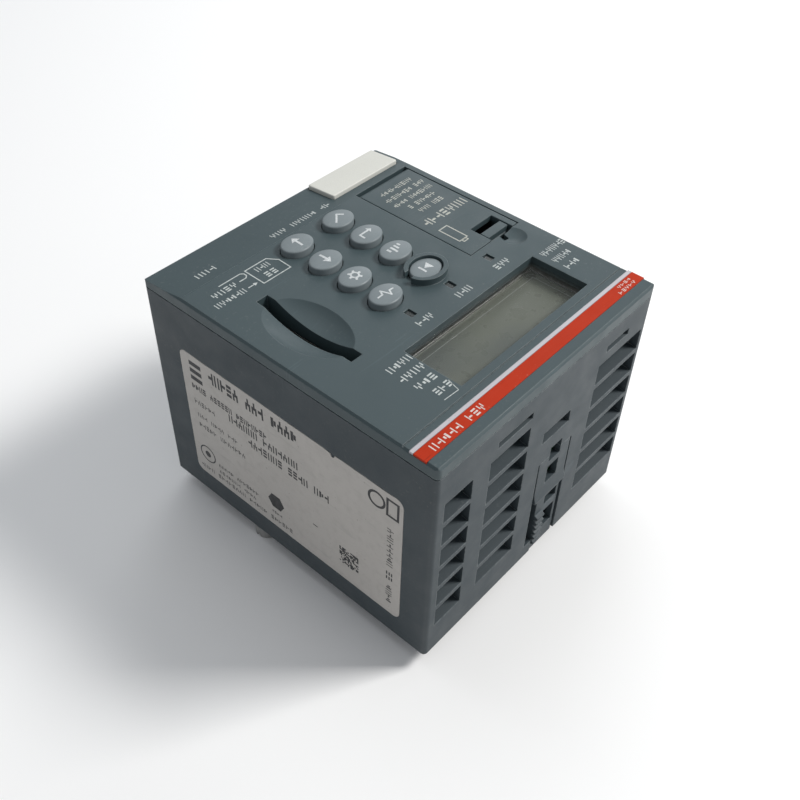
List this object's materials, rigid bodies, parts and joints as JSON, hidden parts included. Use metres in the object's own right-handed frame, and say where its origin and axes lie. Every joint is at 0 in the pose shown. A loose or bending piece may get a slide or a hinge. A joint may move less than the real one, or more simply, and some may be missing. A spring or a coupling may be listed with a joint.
{
  "type": "plc module",
  "caption": "Plug-in controller module: vented box housing with display, keypad, battery door, card slot, side label and press latches that hold it on a rail base.",
  "frame": {"origin": "centre of the bounding box at the tips of the rear pegs, which the module lies on", "axes": "+Z out of the front panel, +Y towards the panel's upper edge with the colour stripe, +X towards the panel's right, the side with the label"},
  "size_m": [0.0676, 0.077, 0.062],
  "materials": {
    "housing_grey": "fine moulded texture, slate grey",
    "cover_grey": "fine moulded texture, slate grey",
    "key_grey": "satin moulded plastic",
    "stripe_red": "satin printed insert",
    "line_white": "satin printed insert",
    "lens_clear": "clear moulded window",
    "lcd_grey": "polariser over a reflective display",
    "light_pipe": "smoked clear plastic",
    "led_body": "moulded lamp body",
    "backlight_white": "white light guide",
    "board_green": "solder mask over glass-fibre laminate",
    "component_black": "moulded epoxy and connector plastic",
    "steel": "nickel-plated steel",
    "brass": "plated brass",
    "ribbon_grey": "flat cable",
    "capacitor_sleeve": "shrink sleeve",
    "ferrite": "ferrite core",
    "ejector_white": "low-friction moulding",
    "label_paper": "worn printed sticker",
    "tag_white": "matt marker tag"
  },
  "bodies": {
    "module": {"housing": "housing_grey", "front_cover": "cover_grey", "rear_base": "housing_grey", "colour_stripe": "stripe_red", "stripe_line": "line_white", "display_lens": "lens_clear", "lcd_frame": "steel", "lcd_glass": "lcd_grey", "backlight": "backlight_white", "front_board": "board_green", "key_switches": "component_black", "status_light_pipes": "light_pipe", "status_leds": "led_body", "battery_holder": "component_black", "battery_frame": "component_black", "battery_cell": "steel", "battery_contacts": "brass", "card_socket_base": "component_black", "card_socket_shell": "steel", "card_contacts": "brass", "ejector_spring": "steel", "cpu_board": "board_green", "power_board": "board_green", "board_posts": "brass", "board_connector": "component_black", "ribbon_cable": "ribbon_grey", "processor": "component_black", "memory_chips": "component_black", "power_capacitors": "capacitor_sleeve", "power_transformer": "ferrite", "bus_plug": "component_black", "io_plug": "component_black", "side_plug": "component_black", "plug_contacts": "brass", "earth_contact": "steel", "case_screws": "steel", "board_screws": "steel", "side_label": "label_paper", "marker_tag": "tag_white"},
    "key_enter": {"key_enter": "key_grey"},
    "key_escape": {"key_escape": "key_grey"},
    "key_value": {"key_value": "key_grey"},
    "key_run": {"key_run": "key_grey"},
    "key_up": {"key_up": "key_grey"},
    "key_down": {"key_down": "key_grey"},
    "key_setup": {"key_setup": "key_grey"},
    "key_diagnosis": {"key_diagnosis": "key_grey"},
    "battery_door": {"battery_door": "cover_grey"},
    "door_latch": {"door_latch": "cover_grey"},
    "card_ejector": {"card_ejector": "ejector_white"},
    "upper_latch": {"upper_latch": "housing_grey"},
    "lower_latch": {"lower_latch": "housing_grey"}
  },
  "joints": [
    {"name": "key_enter_press", "type": "slide", "parent": "module", "child": "key_enter", "axis": [0, 0, -1], "range_m": [0, 0.0008], "stiffness_N_per_m": 1200, "springref_m": -0.0006},
    {"name": "key_escape_press", "type": "slide", "parent": "module", "child": "key_escape", "axis": [0, 0, -1], "range_m": [0, 0.0008], "stiffness_N_per_m": 1200, "springref_m": -0.0006},
    {"name": "key_value_press", "type": "slide", "parent": "module", "child": "key_value", "axis": [0, 0, -1], "range_m": [0, 0.0008], "stiffness_N_per_m": 1200, "springref_m": -0.0006},
    {"name": "key_run_press", "type": "slide", "parent": "module", "child": "key_run", "axis": [0, 0, -1], "range_m": [0, 0.0008], "stiffness_N_per_m": 1200, "springref_m": -0.0006},
    {"name": "key_up_press", "type": "slide", "parent": "module", "child": "key_up", "axis": [0, 0, -1], "range_m": [0, 0.0008], "stiffness_N_per_m": 1200, "springref_m": -0.0006},
    {"name": "key_down_press", "type": "slide", "parent": "module", "child": "key_down", "axis": [0, 0, -1], "range_m": [0, 0.0008], "stiffness_N_per_m": 1200, "springref_m": -0.0006},
    {"name": "key_setup_press", "type": "slide", "parent": "module", "child": "key_setup", "axis": [0, 0, -1], "range_m": [0, 0.0008], "stiffness_N_per_m": 1200, "springref_m": -0.0006},
    {"name": "key_diagnosis_press", "type": "slide", "parent": "module", "child": "key_diagnosis", "axis": [0, 0, -1], "range_m": [0, 0.0008], "stiffness_N_per_m": 1200, "springref_m": -0.0006},
    {"name": "battery_door_hinge", "type": "hinge", "parent": "module", "child": "battery_door", "pos_m": [-0.02368, -0.025, 0.0587], "axis": [1, 0, 0], "range_deg": [0, 95]},
    {"name": "door_latch_slide", "type": "slide", "parent": "battery_door", "child": "door_latch", "axis": [0, -1, 0], "range_m": [0, 0.0013], "stiffness_N_per_m": 400, "springref_m": -0.0006},
    {"name": "upper_latch_press", "type": "hinge", "parent": "module", "child": "upper_latch", "pos_m": [-0.00508, 0.03725, 0.03405], "axis": [-1, 0, 0], "range_deg": [0, 4], "stiffness_Nm_per_rad": 0.6, "springref_deg": -1.15},
    {"name": "lower_latch_press", "type": "hinge", "parent": "module", "child": "lower_latch", "pos_m": [-0.00508, -0.03725, 0.03405], "axis": [1, 0, 0], "range_deg": [0, 4], "stiffness_Nm_per_rad": 0.6, "springref_deg": -1.15},
    {"name": "card_ejector_slide", "type": "slide", "parent": "module", "child": "card_ejector", "axis": [0, 0, -1], "range_m": [0, 0.006], "stiffness_N_per_m": 60, "springref_m": -0.004, "deforming": ["ejector_spring"]}
  ]
}
